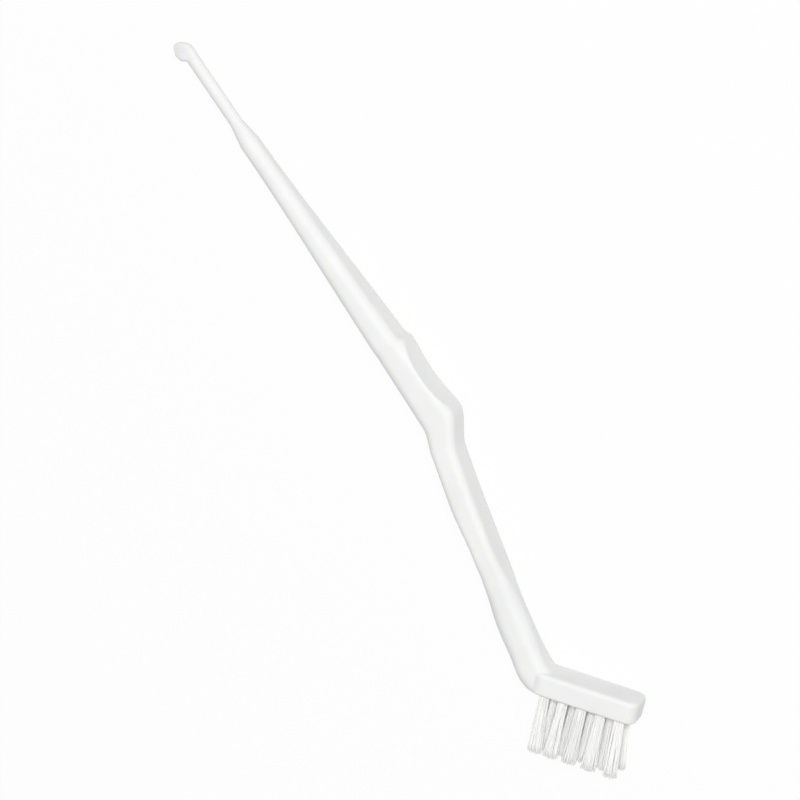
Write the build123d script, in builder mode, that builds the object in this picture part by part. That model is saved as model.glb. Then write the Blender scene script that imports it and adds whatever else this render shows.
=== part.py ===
from build123d import *
import os
from math import cos, radians, sin

# Crevice brush: a one-piece moulded handle with a pick tail, and a small angled head of tufts.
# The brush lies on its side. +X runs along the handle from the tail towards the head, +Y is the
# back of the brush, where the thumb rests, and +Z is up. The bristles point away from the back.
# The origin is the middle of the head's lower side face, which lies on the table.

# Head plate
head_length = 28.6
head_width = 12.0
head_thickness = 5.8
head_pitch = 40.2  # degrees between the handle's axis and the head plate
head_corner = 3.0
head_back_edge = 1.1
head_face_edge = 0.6

# Tufts and their blind holes
tuft_columns = 5  # in the outer rows; each tuft of the middle row stands between two of them
tuft_rows = ("left", "middle", "right")
hole_diameter = 2.7
hole_depth = 4.0
heel_margin = 2.8  # from the heel end of the plate to the first hole's edge
tip_margin = 2.75  # from the last hole's edge to the tip end of the plate
side_margin = 1.1  # from the outer holes' edge to the plate's side
bristle_length = 15.5  # from the face of the plate to the trimmed tips
plug_clearance = 0.05
strand_side = 0.29
strand_rings = 2  # rings of strands round the middle one
strand_step = 7  # each ring has this many strands more than the one inside it
strand_root = 0.5  # length of a strand inside the plug
ring_gap = 0.52  # from one ring of strands to the next
tip_spread = 1.35
row_splay = 0.45
# How far each column's tips lean towards the tip end, as shares of the bristle length; a tuft
# between two columns leans by the mean of theirs
column_lean_shares = (0.07, 0.02, 0.0, 0.03, 0.10)

# Anchor wires
anchor_thickness = 0.25
anchor_height = 1.5
anchor_bite = 0.15  # how far each end has cut into the wall of the hole
fold_height = 0.8  # folded filament between the anchor and the bottom of the hole
anchor_clearance = 0.05

# Neck
neck_length = 65.0
neck_width = 11.6
neck_height = 5.9
neck_end_pitch = -9.5  # degrees, at the head
neck_start_pitch = -16.0  # degrees, at the thumb stop
neck_embed = 3.2  # how far the neck's axis runs into the plate, from the heel end
neck_rise = 1.2  # height of the end of the axis above the plate's face
neck_sections = 15
# The waist: its middle and reach as shares of the length, and the section there
waist_place_share = 0.32
waist_head_reach_share = 0.42
waist_stop_reach_share = 0.30
waist_width_share = 0.70
waist_height_share = 1.20
neck_corner_share = 0.58
waist_corner_share = 0.80
# The belly of the neck hangs lower at its two ends, by these heights
neck_head_swell = 1.6
neck_start_swell = 0.8
# Where each swell stands on the length: its two ends, as shares from the head
head_swell_shares = (0.27, 0.52)
start_swell_shares = (0.60, 0.80)
swell_fade_share = 0.07  # over this share, next to the plate, the head's swell fades out
neck_root_rise = 1.0  # how much higher the back of the neck stands where it meets the plate
root_rise_share = 0.11  # over this share of the length the rise eases out

# Grip and tapering handle
grip_width = 12.0
grip_height = 9.2  # at the thumb stop
stop_run = 8.6  # length of the slope from the thumb stop down to the neck
stop_rise = 3.9  # from the neck's axis up to the grip's axis
stop_sections = 7
# How much of the slope is an even S from the stop down to the neck; the rest is straight
stop_softness_share = 0.6
handle_length = 86.0  # from the thumb stop to the shoulder of the pick
handle_sections = 11
handle_tail_width = 6.0
handle_tail_height = 4.9
handle_tail_drop = 1.4  # how far the axis has moved from the back by the shoulder
# The width stays full for this share of the length, then eases down to the tail
grip_full_share = 0.26
grip_corner_share = 0.52
tail_corner_share = 0.95
# The height eases down towards the tail by this power of what is left of the length
height_power = 1.5

# Thumb rest
thumb_length = 20.0
thumb_depth = 1.35
thumb_lip = 1.4  # flat left between the dish and the stop
thumb_rim = 0.8  # flat left at the dish's other end
thumb_rise = 0.9  # how far that rim stands above the line of the back
thumb_ramp = 1.6  # length of the slope from the rim down to the back
thumb_sections = 5

# Pick: a round shaft with a small hooked scraper
pick_diameter = 3.4
pick_length = 19.7
pick_shoulder = 6.0
hook_radius = 5.0
hook_turn = 66.0  # degrees
hook_height = 4.9
hook_width = 2.8
# Sections from the shaft to the hook's end: place along the arc, height, width, corner
hook_place_shares = (0.0, 0.14, 0.45, 0.72, 1.0)
hook_height_shares = (0.64, 0.74, 1.0, 0.96, 0.58)
hook_width_shares = (1.10, 1.06, 0.98, 0.74, 0.36)
hook_corner_shares = (0.95, 0.92, 0.90, 0.90, 0.80)

cut_overrun = 2.0


mid_z = head_width / 2
plate_along = Vector(cos(radians(head_pitch)), sin(radians(head_pitch)), 0)
plate_back = Vector(-sin(radians(head_pitch)), cos(radians(head_pitch)), 0)
plate_middle = Vector(0, 0, mid_z)
face_middle = plate_middle - plate_back * (head_thickness / 2)
heel = face_middle - plate_along * (head_length / 2)

# The plate's face, looking out along the bristles: local X runs from the heel to the tip
face_plane = Plane(origin=face_middle, x_dir=plate_along, z_dir=-plate_back)


def section_plane(centre, pitch):
    """A plane across the handle: local X is the height towards the back, local Y is the width."""
    turn = radians(pitch)
    return Plane(
        origin=centre,
        x_dir=(-sin(turn), cos(turn), 0),
        z_dir=(cos(turn), sin(turn), 0),
    )


def arc_station(start, pitch, radius, turned):
    """A point and pitch on an arc that starts at a point, running back towards the tail."""
    centre = start + Vector(-sin(radians(pitch)), cos(radians(pitch)), 0) * radius
    now = pitch + turned
    return centre + Vector(sin(radians(now)), -cos(radians(now)), 0) * radius, now


def ease(share):
    """A smooth step from 0 to 1, level at both ends."""
    share = min(max(share, 0), 1)
    return share * share * (3 - 2 * share)


def blend(first, last, share):
    return first + (last - first) * share


def neck_swell(place):
    """How much lower the belly hangs at a share of the neck's length from the head."""
    inner, outer = head_swell_shares
    at_head = ease((outer - place) / (outer - inner)) * min(place / swell_fade_share, 1)
    inner, outer = start_swell_shares
    at_start = ease((place - inner) / (outer - inner))
    return neck_head_swell * at_head + neck_start_swell * at_start


def neck_stations():
    """Cross-sections of the neck, from inside the head plate back to the thumb stop."""
    turn = neck_start_pitch - neck_end_pitch
    radius = neck_length / radians(-turn)
    end = heel + plate_along * neck_embed + plate_back * neck_rise
    group = []
    for index in range(neck_sections):
        place = index / (neck_sections - 1)
        headwards = place < waist_place_share
        reach = waist_head_reach_share if headwards else waist_stop_reach_share
        waist = ease(1 - abs(place - waist_place_share) / reach)
        hang = neck_swell(place)
        rise = neck_root_rise * max(1 - place / root_rise_share, 0)
        centre, pitch = arc_station(end, neck_end_pitch, radius, turn * place)
        centre += Vector(-sin(radians(pitch)), cos(radians(pitch)), 0) * ((rise - hang) / 2)
        height = neck_height * blend(1, waist_height_share, waist) + hang + rise
        width = neck_width * blend(1, waist_width_share, waist)
        group.append((centre, pitch, height, width, blend(neck_corner_share, waist_corner_share, waist)))
    return group


def grip_station(stop, distance, raised):
    """The cross-section at a distance from the thumb stop, with its back raised by a height."""
    place = distance / handle_length
    narrowed = ease((place - grip_full_share) / (1 - grip_full_share))
    lowered = 1 - (1 - place) ** height_power
    centre = stop + Vector(-distance, raised / 2 - handle_tail_drop * place, 0)
    height = blend(grip_height, handle_tail_height, lowered) + raised
    width = blend(grip_width, handle_tail_width, narrowed)
    return centre, 0, height, width, blend(grip_corner_share, tail_corner_share, lowered)


def handle_stations(stop, first, last, raised, count):
    """Cross-sections between two distances from the thumb stop; the back rises over them."""
    group = []
    for index in range(count):
        share = index / (count - 1)
        group.append(grip_station(stop, blend(first, last, share), raised * share))
    return group


def stop_stations(grip_end, neck_end):
    """Cross-sections of the slope, from the thumb stop down to the neck."""
    group = []
    for index in range(stop_sections):
        place = index / (stop_sections - 1)
        fallen = blend(place, ease(place), stop_softness_share)
        along = blend(grip_end[0].X, neck_end[0].X, place)
        up = blend(grip_end[0].Y, neck_end[0].Y, fallen)
        pitch = blend(grip_end[1], neck_end[1], place)
        height, width, corner = (
            blend(first, last, fallen) for first, last in zip(grip_end[2:], neck_end[2:])
        )
        group.append((Vector(along, up, mid_z), pitch, height, width, corner))
    return group


def hook_stations(shaft_end):
    """Cross-sections of the hooked scraper, from the shaft to its end."""
    group = []
    for place, height, width, corner in zip(
        hook_place_shares, hook_height_shares, hook_width_shares, hook_corner_shares
    ):
        centre, pitch = arc_station(shaft_end, 0, -hook_radius, hook_turn * place)
        group.append((centre, pitch, hook_height * height, hook_width * width, corner))
    return group


neck = neck_stations()
stop = neck[-1][0] + Vector(-stop_run, stop_rise, 0)
thumb_reach = thumb_lip + thumb_length + thumb_rim
ramp_foot = thumb_reach + thumb_ramp
grip = handle_stations(stop, 0, thumb_reach, thumb_rise, thumb_sections)
tail = handle_stations(stop, ramp_foot, handle_length, 0, handle_sections)
shaft_start = tail[-1][0] - Vector(pick_shoulder, 0, 0)
shaft_end = shaft_start - Vector(pick_length, 0, 0)
shaft_section = (shaft_start, 0, pick_diameter, pick_diameter, tail_corner_share)
hook = hook_stations(shaft_end)


def sections(group):
    """A rounded cross-section at each station of a group, ready to loft."""
    drawn = []
    for centre, pitch, height, width, corner in group:
        with BuildSketch(section_plane(centre, pitch)) as outline:
            RectangleRounded(height, width, min(height, width) / 2 * corner)
        drawn.append(outline.sketch)
    return drawn


def hole_places():
    """The middle of each hole on the plate's face, by row and column."""
    first = -head_length / 2 + heel_margin + hole_diameter / 2
    last = head_length / 2 - tip_margin - hole_diameter / 2
    outer = head_width / 2 - side_margin - hole_diameter / 2
    places = {}
    for row, name in enumerate(tuft_rows):
        across = outer * (row - (len(tuft_rows) - 1) / 2) / ((len(tuft_rows) - 1) / 2)
        between = row % 2
        for column in range(tuft_columns - between):
            along = blend(first, last, (column + between / 2) / (tuft_columns - 1))
            places[name, column] = (along, across)
    return places


# The head plate alone, so that its own edges can be rounded
with BuildPart() as plate:
    with BuildSketch(face_plane):
        RectangleRounded(head_length, head_width, head_corner)
    extrude(amount=-head_thickness)
    across_plate = Axis(face_middle, plate_back)
    fillet(plate.edges().group_by(across_plate)[-1], head_back_edge)
    fillet(plate.edges().group_by(across_plate)[0], head_face_edge)


def grip_back(distance):
    """The point on the back of the grip at a distance from the thumb stop."""
    centre, _, height, _, _ = grip_station(stop, distance, thumb_rise * distance / thumb_reach)
    return Vector(centre.X, centre.Y + height / 2, 0)


anchor_length = hole_diameter + 2 * anchor_bite
anchor_plane = face_plane.offset(fold_height - hole_depth)
holes = hole_places()

with BuildPart() as handle:
    # Hooked tip, shaft and shoulder of the pick
    loft(sections(hook))
    with BuildSketch(section_plane(shaft_end, 0)):
        Circle(pick_diameter / 2)
    extrude(amount=pick_length)
    loft(sections([shaft_section, tail[-1]]))

    # Handle, grip with its raised thumb rest, and the slope of the thumb stop
    loft(sections(tail))
    loft(sections([tail[0], grip[-1]]))
    loft(sections(grip))
    loft(sections(stop_stations(grip[0], neck[-1])))

    # Dished thumb rest in the back of the grip
    dish_start = grip_back(thumb_lip + thumb_length)
    dish_end = grip_back(thumb_lip)
    dish_middle = (dish_start + dish_end) / 2 - Vector(0, thumb_depth, 0)
    above = Vector(0, grip_height, 0)
    with BuildSketch(Plane.XY.offset(mid_z)):
        with BuildLine():
            ThreePointArc(dish_start, dish_middle, dish_end)
            Polyline(dish_end, dish_end + above, dish_start + above, dish_start)
        make_face()
    extrude(amount=grip_width / 2 + cut_overrun, both=True, mode=Mode.SUBTRACT)

    # The neck ends flush with the face of the plate
    loft(sections(neck))
    with BuildSketch(face_plane):
        with Locations((-head_length / 2, 0)):
            Rectangle(head_length, head_width + cut_overrun)
    extrude(amount=head_thickness, mode=Mode.SUBTRACT)
    add(plate.part)

    # Blind tuft holes, and the notch that each anchor has cut in its hole's wall
    with BuildSketch(face_plane):
        with Locations(*holes.values()):
            Circle(hole_diameter / 2)
    extrude(amount=-hole_depth, mode=Mode.SUBTRACT)
    with BuildSketch(anchor_plane):
        with Locations(*holes.values()):
            Rectangle(anchor_length, anchor_thickness)
    extrude(amount=anchor_height, mode=Mode.SUBTRACT)


def strand_offsets():
    """Where the strands of a tuft stand round its middle: one, then rings of more each."""
    offsets = [(0, 0)]
    for ring in range(1, strand_rings + 1):
        count = strand_step * ring
        for index in range(count):
            turn = radians(360 * index / count)
            offsets.append((ring * ring_gap * cos(turn), ring * ring_gap * sin(turn)))
    return offsets


def make_tuft(row, column, middle):
    """A folded bundle of filament: the plug in its hole, and the strands that stand out of it."""
    between = tuft_rows.index(row) % 2
    lean_share = blend(column_lean_shares[column], column_lean_shares[column + between], between / 2)
    lean = lean_share * bristle_length
    splay = row_splay * (tuft_rows.index(row) - (len(tuft_rows) - 1) / 2)
    root_plane = face_plane.offset(-strand_root)
    tip_plane = face_plane.offset(bristle_length)
    strands = []
    for along, across in strand_offsets():
        with BuildSketch(root_plane) as root:
            with Locations((middle[0] + along, middle[1] + across)):
                Rectangle(strand_side, strand_side)
        with BuildSketch(tip_plane) as tip:
            outwards = along * tip_spread + lean, across * tip_spread + splay
            with Locations((middle[0] + outwards[0], middle[1] + outwards[1])):
                Rectangle(strand_side, strand_side)
        strands.append(loft([root.sketch, tip.sketch], ruled=True, mode=Mode.PRIVATE))
    with BuildPart() as tuft:
        with BuildSketch(face_plane.offset(-hole_depth)):
            with Locations(middle):
                Circle(hole_diameter / 2 - plug_clearance)
        extrude(amount=hole_depth)
        with BuildSketch(anchor_plane.offset(-anchor_clearance)):
            with Locations(middle):
                Rectangle(anchor_length, anchor_thickness + 2 * anchor_clearance)
        extrude(amount=anchor_height + 2 * anchor_clearance, mode=Mode.SUBTRACT)
        add(strands)
    return tuft.part


def make_anchor(middle):
    """A short flat wire across the fold of a tuft, bitten into the wall of the hole."""
    with BuildPart() as anchor:
        with BuildSketch(anchor_plane):
            with Locations(middle):
                Rectangle(anchor_length, anchor_thickness)
        extrude(amount=anchor_height)
    return anchor.part


os.makedirs("parts", exist_ok=True)
handle.part.label = "handle"
export_step(handle.part, "parts/handle.step")
for (row, column), middle in holes.items():
    tuft = make_tuft(row, column, middle)
    tuft.label = f"tuft_{row}_{column + 1}"
    export_step(tuft, f"parts/{tuft.label}.step")
    anchor = make_anchor(middle)
    anchor.label = f"anchor_{row}_{column + 1}"
    export_step(anchor, f"parts/{anchor.label}.step")
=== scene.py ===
import math
import random

import bmesh
import bpy
from mathutils import Matrix, Vector


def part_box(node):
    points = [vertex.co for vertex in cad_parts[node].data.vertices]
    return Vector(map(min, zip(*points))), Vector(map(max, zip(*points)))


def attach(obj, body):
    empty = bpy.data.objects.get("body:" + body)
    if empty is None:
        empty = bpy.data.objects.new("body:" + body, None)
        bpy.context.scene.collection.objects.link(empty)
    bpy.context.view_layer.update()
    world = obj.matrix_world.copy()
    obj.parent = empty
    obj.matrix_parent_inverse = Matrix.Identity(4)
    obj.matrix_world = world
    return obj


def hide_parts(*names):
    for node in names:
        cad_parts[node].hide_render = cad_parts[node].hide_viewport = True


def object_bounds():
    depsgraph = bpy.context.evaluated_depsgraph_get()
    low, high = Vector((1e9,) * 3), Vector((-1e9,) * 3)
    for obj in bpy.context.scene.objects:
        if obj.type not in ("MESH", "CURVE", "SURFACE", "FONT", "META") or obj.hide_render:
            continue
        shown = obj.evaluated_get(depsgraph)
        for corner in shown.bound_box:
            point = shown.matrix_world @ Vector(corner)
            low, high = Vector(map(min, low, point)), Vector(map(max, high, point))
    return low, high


# Looks of the crevice brush: the one-piece white moulding with its edges rounded as a mould
# leaves them, and full tufts of fine white filament in its holes. All lengths are in metres.

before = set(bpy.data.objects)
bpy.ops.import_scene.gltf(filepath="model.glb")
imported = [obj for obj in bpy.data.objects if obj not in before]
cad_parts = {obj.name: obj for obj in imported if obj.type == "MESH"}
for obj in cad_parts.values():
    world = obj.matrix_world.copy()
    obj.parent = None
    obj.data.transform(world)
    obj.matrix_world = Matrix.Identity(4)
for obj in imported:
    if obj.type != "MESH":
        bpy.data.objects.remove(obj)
cad_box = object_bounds()

MM = 0.001

# Head plate, as the frame has it: the pitch between the handle's axis and the plate
PLATE_PITCH = math.radians(40.2)
BRISTLE_WAY = Vector((math.sin(PLATE_PITCH), -math.cos(PLATE_PITCH), 0))
PLATE_WAY = Vector((math.cos(PLATE_PITCH), math.sin(PLATE_PITCH), 0))
ACROSS = Vector((0, 0, 1))

# Moulding
MESH_PITCH = 0.22 * MM
EDGE_ROUNDING_STEPS = 7
MIDDLE_HEIGHT = (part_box("handle")[0].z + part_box("handle")[1].z) / 2
MOULDING_WHITES = (0.86, 0.86, 0.855, 1), (0.83, 0.833, 0.83, 1)
SPECK_GREY = (0.77, 0.77, 0.76, 1)
SPECK_STRENGTH = 0.35
MOULDING_ROUGHNESS = 0.58, 0.72
MOULDING_SHINE = 0.38  # level of the reflection, where 0.5 is that of the bare index
MOULDING_IOR = 1.5
MOULDING_DEPTH_SHARE = 0.12  # how much of the light goes a little way into the plastic
MOULDING_DEPTH_COLOURS = (1.0, 0.9, 0.8)
MOULDING_DEPTH = 1.2 * MM
PARTING_LINE_WIDTH = 0.10 * MM
# Heights of the relief, as parts of the bump's depth
GRAIN_RELIEF, SINK_RELIEF, LINE_RELIEF = 0.10, 1.6, 0.55
MOULDING_BUMP = 0.5
MOULDING_BUMP_DEPTH = 0.05 * MM

# Noises: the scale, the detail and, for the smear, the roughness of each
CLOUD = 90.0, 4.0
SPECK = 2600.0, 2.0
SMEAR = 140.0, 5.0, 0.65
GRAIN = 5200.0, 2.0
SINK = 55.0, 1.0
DUST = 900.0, 3.0
GLOSS = 700.0, 3.0
DRAWN = 6000.0, 2.0
SCRATCH = 4000.0, 4.0
# The parts of the noises' range that are spread over the whole of what they drive
EVEN_SPAN = 0.3, 0.7
CLOUD_SPAN = 0.35, 0.65
SPECK_SPAN = 0.66, 0.8
DUST_SPAN = 0.55, 0.75

# Filaments
FILAMENTS = 100
FILAMENT_RADIUS = 0.112 * MM
FILAMENT_SIDES = 7
FILAMENT_RINGS = 9
HOLE_DEPTH = 4.0 * MM
ROOT_SINK = 1.6 * MM  # where the drawn filaments start, below the face of the plate
BUNDLE_RADIUS = 1.24 * MM
TIP_SPREAD = 1.45  # how much wider a tuft is at its tips than in its hole
TIP_WANDER = 0.20 * MM
TUFT_WANDER = 0.22 * MM  # how far a whole tuft is bent by use
TIP_UNEVENNESS = 0.22 * MM
STRAY_SHARE = 0.10
STRAY_WANDER = 0.42 * MM
TIP_CLEARANCE = 1.3  # from the box of the solids, in filament radii
TIP_CAP = 0.5  # height of a filament's rounded end, in filament radii
BEND = 0.008  # sideways bow of a filament, as a share of its length
FLARE = 1.35  # how late along its length a filament turns outwards
FILAMENT_WHITES = (0.985, 0.985, 0.98, 1), (0.955, 0.955, 0.95, 1)
DUST_GREY = (0.90, 0.90, 0.89, 1)
DUST_STRENGTH = 0.3
FILAMENT_ROUGHNESS = 0.26, 0.42
FILAMENT_IOR = 1.53
FILAMENT_BUMP = 0.25
FILAMENT_BUMP_DEPTH = 0.02 * MM
GOLDEN_ANGLE = math.pi * (3 - math.sqrt(5))
HALF_STEP = 0.5
LIGHT_BOUNCES = 16
SLIVER = 0.05 * MM  # thickness of the slices that give a tuft's two ends

# Anchor wires
WIRE_TONES = (0.72, 0.69, 0.62, 1), (0.60, 0.57, 0.50, 1)
WIRE_ROUGHNESS = 0.22, 0.4

# The table, just clear of the side that the brush lies on
FLOOR_GAP = 0.02 * MM
FLOOR_REACH = 3.0
FLOOR_CELLS = 8
FLOOR_WHITE = (0.80, 0.80, 0.80, 1)
PAPER_SHARE = 0.94  # how much of the paper white the camera sees; the rest keeps the shadow

# Light
KEY_WAY = (-0.04, 0.43, 1.0)
KEY_DISTANCE = 0.9
KEY_SIZE = 0.30
KEY_POWER = 5.25
ROOM_LIGHT = 0.44
WHITE = (1, 1, 1, 1)

# Camera: the view that the photograph has, an 800 x 800 frame
CAMERA_TILT = math.radians(21.5)  # from straight above, towards the back of the brush
ROLL_RIGHT, ROLL_DOWN = 0.5615, 0.8275  # the way that +X points in the picture
VIEW_MIDDLE = Vector((-89.36, 2.39, 6.0)) * MM
VIEW_WIDTH = 205.1 * MM
LENS = 180.0
SENSOR = 36.0


def link(thing):
    bpy.context.scene.collection.objects.link(thing)
    return thing


def new_material(name):
    """An empty node material with its Principled shader."""
    material = bpy.data.materials.new(name)
    material.use_nodes = True
    shader = material.node_tree.nodes["Principled BSDF"]
    return material, material.node_tree, shader


def add_node(tree, kind, **inputs):
    """A node of a kind, with the named inputs set or linked."""
    node = tree.nodes.new(kind)
    for name, value in inputs.items():
        socket = node.inputs[name.replace("_", " ")]
        if isinstance(value, bpy.types.NodeSocket):
            tree.links.new(value, socket)
        else:
            socket.default_value = value
    return node


def noise(tree, place, scale, detail, roughness=0.5):
    inputs = {"Vector": place, "Scale": scale, "Detail": detail, "Roughness": roughness}
    return add_node(tree, "ShaderNodeTexNoise", **inputs).outputs["Fac"]


def math_node(tree, operation, first, second=0.0):
    node = tree.nodes.new("ShaderNodeMath")
    node.operation = operation
    for socket, value in zip(node.inputs, (first, second)):
        if isinstance(value, bpy.types.NodeSocket):
            tree.links.new(value, socket)
        else:
            socket.default_value = value
    return node.outputs[0]


def ranged(tree, value, low, high, out_low, out_high):
    """A value taken from one range to another, and held at the ends."""
    node = add_node(tree, "ShaderNodeMapRange", Value=value)
    node.inputs["From Min"].default_value = low
    node.inputs["From Max"].default_value = high
    node.inputs["To Min"].default_value = out_low
    node.inputs["To Max"].default_value = out_high
    return node.outputs["Result"]


def mixed(tree, factor, first, second):
    """Two colours mixed by a factor."""
    node = tree.nodes.new("ShaderNodeMix")
    node.data_type = "RGBA"
    tree.links.new(factor, node.inputs["Factor"])
    for name, value in (("A", first), ("B", second)):
        socket = [s for s in node.inputs if s.name == name and s.type == "RGBA"][0]
        if isinstance(value, bpy.types.NodeSocket):
            tree.links.new(value, socket)
        else:
            socket.default_value = value
    return [s for s in node.outputs if s.type == "RGBA"][0]


def object_place(tree):
    return add_node(tree, "ShaderNodeTexCoord").outputs["Object"]


def add_bump(tree, shader, height, strength, depth):
    """A relief on a shader's surface."""
    bump = add_node(tree, "ShaderNodeBump", Height=height, Strength=strength, Distance=depth)
    tree.links.new(bump.outputs["Normal"], shader.inputs["Normal"])


def moulded_white():
    """Dull white plastic with a cloudy flow, a fine texture and the mould's parting line."""
    material, tree, shader = new_material("moulded_white")
    place = object_place(tree)
    cloud = ranged(tree, noise(tree, place, *CLOUD), *CLOUD_SPAN, 0.0, 1.0)
    speck = ranged(tree, noise(tree, place, *SPECK), *SPECK_SPAN, 0.0, SPECK_STRENGTH)
    white = mixed(tree, speck, mixed(tree, cloud, *MOULDING_WHITES), SPECK_GREY)
    tree.links.new(white, shader.inputs["Base Color"])

    # Handling leaves the surface unevenly polished
    smear = ranged(tree, noise(tree, place, *SMEAR), *EVEN_SPAN, *MOULDING_ROUGHNESS)
    tree.links.new(smear, shader.inputs["Roughness"])

    # The two mould halves meet in the middle plane and leave a fine raised line
    height = add_node(tree, "ShaderNodeSeparateXYZ", Vector=place).outputs["Z"]
    distance = math_node(tree, "ABSOLUTE", math_node(tree, "SUBTRACT", height, MIDDLE_HEIGHT))
    line = ranged(tree, distance, 0.0, PARTING_LINE_WIDTH, 1.0, 0.0)
    grain = math_node(tree, "MULTIPLY", noise(tree, place, *GRAIN), GRAIN_RELIEF)
    sink = math_node(tree, "MULTIPLY", noise(tree, place, *SINK), SINK_RELIEF)
    line = math_node(tree, "MULTIPLY", line, LINE_RELIEF)
    relief = math_node(tree, "ADD", math_node(tree, "ADD", grain, sink), line)
    add_bump(tree, shader, relief, MOULDING_BUMP, MOULDING_BUMP_DEPTH)
    shader.inputs["IOR"].default_value = MOULDING_IOR
    shader.inputs["Specular IOR Level"].default_value = MOULDING_SHINE
    shader.inputs["Subsurface Weight"].default_value = MOULDING_DEPTH_SHARE
    shader.inputs["Subsurface Radius"].default_value = MOULDING_DEPTH_COLOURS
    shader.inputs["Subsurface Scale"].default_value = MOULDING_DEPTH
    return material


def white_filament():
    """Nylon filament: each strand a little different in tone, glossy, with fine drawing lines."""
    material, tree, shader = new_material("white_filament")
    place = object_place(tree)
    strand = add_node(tree, "ShaderNodeNewGeometry").outputs["Random Per Island"]
    tone = mixed(tree, strand, *FILAMENT_WHITES)
    dust = ranged(tree, noise(tree, place, *DUST), *DUST_SPAN, 0.0, DUST_STRENGTH)
    tone = mixed(tree, dust, tone, DUST_GREY)
    tree.links.new(tone, shader.inputs["Base Color"])
    gloss = ranged(tree, noise(tree, place, *GLOSS), *EVEN_SPAN, *FILAMENT_ROUGHNESS)
    tree.links.new(gloss, shader.inputs["Roughness"])
    add_bump(tree, shader, noise(tree, place, *DRAWN), FILAMENT_BUMP, FILAMENT_BUMP_DEPTH)
    shader.inputs["IOR"].default_value = FILAMENT_IOR
    return material


def drawn_wire():
    """Bright flat anchor wire with lines along it."""
    material, tree, shader = new_material("drawn_wire")
    place = object_place(tree)
    scratch = noise(tree, place, *SCRATCH)
    tree.links.new(mixed(tree, scratch, *WIRE_TONES), shader.inputs["Base Color"])
    gloss = ranged(tree, scratch, *EVEN_SPAN, *WIRE_ROUGHNESS)
    tree.links.new(gloss, shader.inputs["Roughness"])
    shader.inputs["Metallic"].default_value = 1.0
    return material


def make_moulding(material):
    """The handle with its edges rounded as a mould leaves them, worked from the node's own mesh."""
    source = link(bpy.data.objects.new("moulding_source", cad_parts["handle"].data.copy()))
    remesh = source.modifiers.new("even_mesh", "REMESH")
    remesh.mode = "VOXEL"
    remesh.voxel_size = MESH_PITCH
    rounding = source.modifiers.new("edge_rounding", "SMOOTH")
    rounding.iterations = EDGE_ROUNDING_STEPS
    graph = bpy.context.evaluated_depsgraph_get()
    mesh = bpy.data.meshes.new_from_object(source.evaluated_get(graph))
    bpy.data.objects.remove(source)
    mesh.name = "handle_moulding"
    mesh.materials.clear()
    mesh.materials.append(material)
    mesh.shade_smooth()
    moulding = link(bpy.data.objects.new("handle_moulding", mesh))
    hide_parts("handle")
    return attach(moulding, "root")


def tuft_axis(node):
    """Where a tuft leaves the plate's face and where its tips end, from its solid."""
    points = [vertex.co.copy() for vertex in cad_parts[node].data.vertices]
    heights = [point.dot(BRISTLE_WAY) for point in points]
    bottom, top = min(heights), max(heights)
    roots = [point for point, height in zip(points, heights) if height < bottom + SLIVER]
    tips = [point for point, height in zip(points, heights) if height > top - SLIVER]
    root = sum(roots, Vector()) / len(roots) + BRISTLE_WAY * HOLE_DEPTH
    tip = sum(tips, Vector()) / len(tips)
    return root, tip


def held(point):
    """A filament's tip, held inside the box of the solids."""
    margin = FILAMENT_RADIUS * TIP_CLEARANCE
    sides = zip(point, *cad_box)
    return Vector(min(max(value, low + margin), high - margin) for value, low, high in sides)


def around(turn):
    """The way across the tufts that a turn about the bristles' way gives."""
    return PLATE_WAY * math.cos(turn) + ACROSS * math.sin(turn)


def scattered(draw, *limits):
    """A random shift across the tufts, with the same limits both ways."""
    return PLATE_WAY * draw(*limits) + ACROSS * draw(*limits)


def add_filament(mesh, root, tip, sway):
    """One round filament, straight where the hole holds it and then curving out to its tip."""
    reach = tip - root
    rise = reach.dot(BRISTLE_WAY)
    drift = reach - BRISTLE_WAY * rise
    rings = []
    for index in range(FILAMENT_RINGS):
        share = index / (FILAMENT_RINGS - 1)
        middle = root + BRISTLE_WAY * (rise * share) + drift * share**FLARE
        middle += sway * math.sin(math.pi * share) * reach.length
        turns = (2 * math.pi * side / FILAMENT_SIDES for side in range(FILAMENT_SIDES))
        rings.append([mesh.verts.new(middle + around(turn) * FILAMENT_RADIUS) for turn in turns])
    for lower, upper in zip(rings, rings[1:]):
        for side in range(FILAMENT_SIDES):
            after = (side + 1) % FILAMENT_SIDES
            mesh.faces.new((lower[side], lower[after], upper[after], upper[side]))
    mesh.faces.new(list(reversed(rings[0])))
    last = rings[-1]
    end = sum((vertex.co for vertex in last), Vector()) / FILAMENT_SIDES
    end = mesh.verts.new(end + BRISTLE_WAY * FILAMENT_RADIUS * TIP_CAP)
    for side in range(FILAMENT_SIDES):
        mesh.faces.new((last[side], last[(side + 1) % FILAMENT_SIDES], end))


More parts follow.
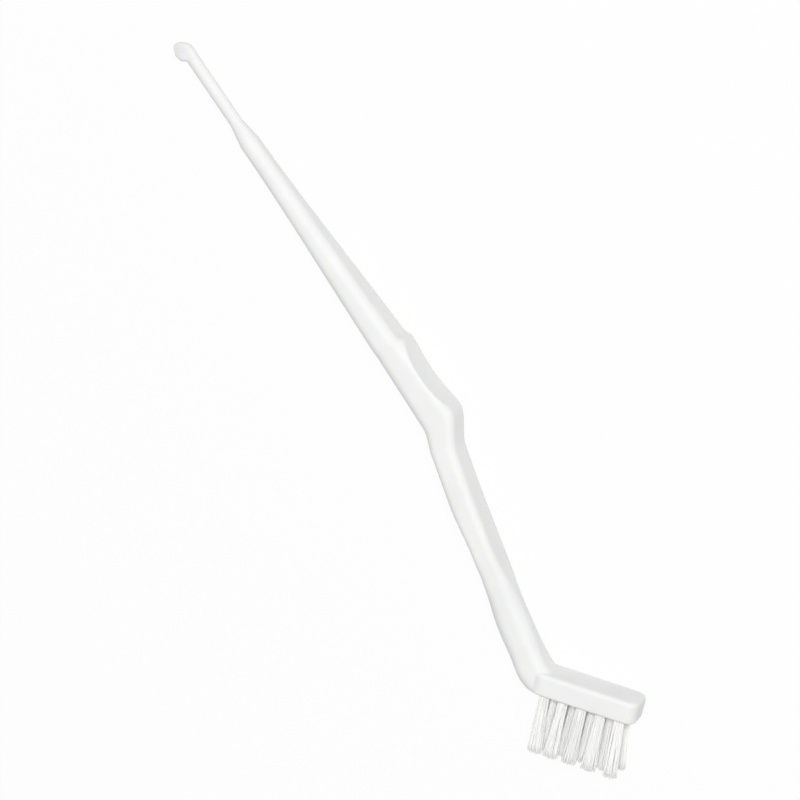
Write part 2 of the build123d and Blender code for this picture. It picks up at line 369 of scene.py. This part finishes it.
def make_tuft(node, material, seed):
    """A full tuft of fine filament that fans out of its hole and ends in a flat trimmed face."""
    chance = random.Random(seed)
    root, tip = tuft_axis(node)
    tip += scattered(chance.uniform, -1, 1) * TUFT_WANDER
    mesh = bmesh.new()
    for index in range(FILAMENTS):
        reach = BUNDLE_RADIUS * math.sqrt((index + HALF_STEP) / FILAMENTS)
        offset = around(GOLDEN_ANGLE * index) * reach
        wander = STRAY_WANDER if chance.random() < STRAY_SHARE else TIP_WANDER
        end = tip + offset * TIP_SPREAD + scattered(chance.gauss, 0, wander)
        end -= BRISTLE_WAY * (FILAMENT_RADIUS + chance.random() ** 2 * TIP_UNEVENNESS)
        start = root + offset - BRISTLE_WAY * ROOT_SINK
        add_filament(mesh, start, held(end), scattered(chance.uniform, -1, 1) * BEND)
    data = bpy.data.meshes.new(node + "_filaments")
    mesh.normal_update()
    mesh.to_mesh(data)
    mesh.free()
    data.materials.append(material)
    data.shade_smooth()
    tuft = link(bpy.data.objects.new(node + "_filaments", data))
    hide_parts(node)
    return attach(tuft, "root")


def background_seen(tree):
    """1 for the rays that show the background: from the camera, or by way of gloss or glass."""
    path = tree.nodes.new("ShaderNodeLightPath")
    seen = math_node(tree, "MAXIMUM", path.outputs["Is Camera Ray"], path.outputs["Is Glossy Ray"])
    return math_node(tree, "MAXIMUM", seen, path.outputs["Is Transmission Ray"])


def make_floor():
    """The plain table that the brush lies on, paper white to the camera, with its shadow kept."""
    material, tree, shader = new_material("white_table")
    tree.nodes.remove(shader)
    diffuse = add_node(tree, "ShaderNodeBsdfDiffuse", Color=FLOOR_WHITE)
    paper = add_node(tree, "ShaderNodeEmission", Color=WHITE, Strength=1.0)
    seen = math_node(tree, "MULTIPLY", background_seen(tree), PAPER_SHARE)
    mix = add_node(tree, "ShaderNodeMixShader", Fac=seen)
    tree.links.new(diffuse.outputs["BSDF"], mix.inputs[1])
    tree.links.new(paper.outputs["Emission"], mix.inputs[2])
    tree.links.new(mix.outputs["Shader"], tree.nodes["Material Output"].inputs["Surface"])
    data = bpy.data.meshes.new("table")
    mesh = bmesh.new()
    bmesh.ops.create_grid(mesh, x_segments=FLOOR_CELLS, y_segments=FLOOR_CELLS, size=FLOOR_REACH)
    mesh.to_mesh(data)
    mesh.free()
    data.materials.append(material)
    floor = link(bpy.data.objects.new("table", data))
    floor.location.z = cad_box[0].z - FLOOR_GAP


def make_camera():
    """The photograph's viewpoint: nearly above the brush, a little from its back, and rolled."""
    towards = Vector((0, math.sin(CAMERA_TILT), math.cos(CAMERA_TILT)))
    along = Vector((1, 0, 0))
    back = Vector((0, math.cos(CAMERA_TILT), -math.sin(CAMERA_TILT)))
    right = along * ROLL_RIGHT + back * ROLL_DOWN
    up = back * ROLL_RIGHT - along * ROLL_DOWN
    data = bpy.data.cameras.new("camera")
    data.lens = LENS
    data.sensor_width = SENSOR
    camera = link(bpy.data.objects.new("camera", data))
    place = VIEW_MIDDLE + towards * (VIEW_WIDTH * LENS / SENSOR)
    turn = Matrix((right, up, towards)).transposed().to_4x4()
    camera.matrix_world = Matrix.Translation(place) @ turn
    bpy.context.scene.camera = camera


def add_lamp(name, way, distance, size, power):
    """A round soft lamp that looks at the middle of the brush."""
    data = bpy.data.lights.new(name, "AREA")
    data.shape = "DISK"
    data.size = size
    data.energy = power
    lamp = link(bpy.data.objects.new(name, data))
    way = Vector(way).normalized()
    lamp.location = VIEW_MIDDLE + way * distance
    lamp.rotation_mode = "QUATERNION"
    lamp.rotation_quaternion = way.to_track_quat("Z", "Y")


def make_light():
    """A soft key from above the back of the brush, and an even pale room."""
    add_lamp("key", KEY_WAY, KEY_DISTANCE, KEY_SIZE, KEY_POWER)
    world = bpy.data.worlds.new("room")
    world.use_nodes = True
    tree = world.node_tree
    background = tree.nodes["Background"]
    strength = ranged(tree, background_seen(tree), 0.0, 1.0, ROOM_LIGHT, 1.0)
    tree.links.new(strength, background.inputs["Strength"])
    background.inputs["Color"].default_value = WHITE
    bpy.context.scene.world = world


plastic = moulded_white()
filament = white_filament()
wire = drawn_wire()

make_moulding(plastic)
for number, name in enumerate(sorted(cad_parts)):
    if name.startswith("tuft"):
        make_tuft(name, filament, number)
    elif name.startswith("anchor"):
        node_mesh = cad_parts[name].data
        node_mesh.materials.clear()
        node_mesh.materials.append(wire)

make_floor()
make_camera()
make_light()
bpy.context.scene.view_settings.view_transform = "Standard"
# Light passes from filament to filament many times before it leaves a white tuft
bpy.context.scene.cycles.diffuse_bounces = LIGHT_BOUNCES
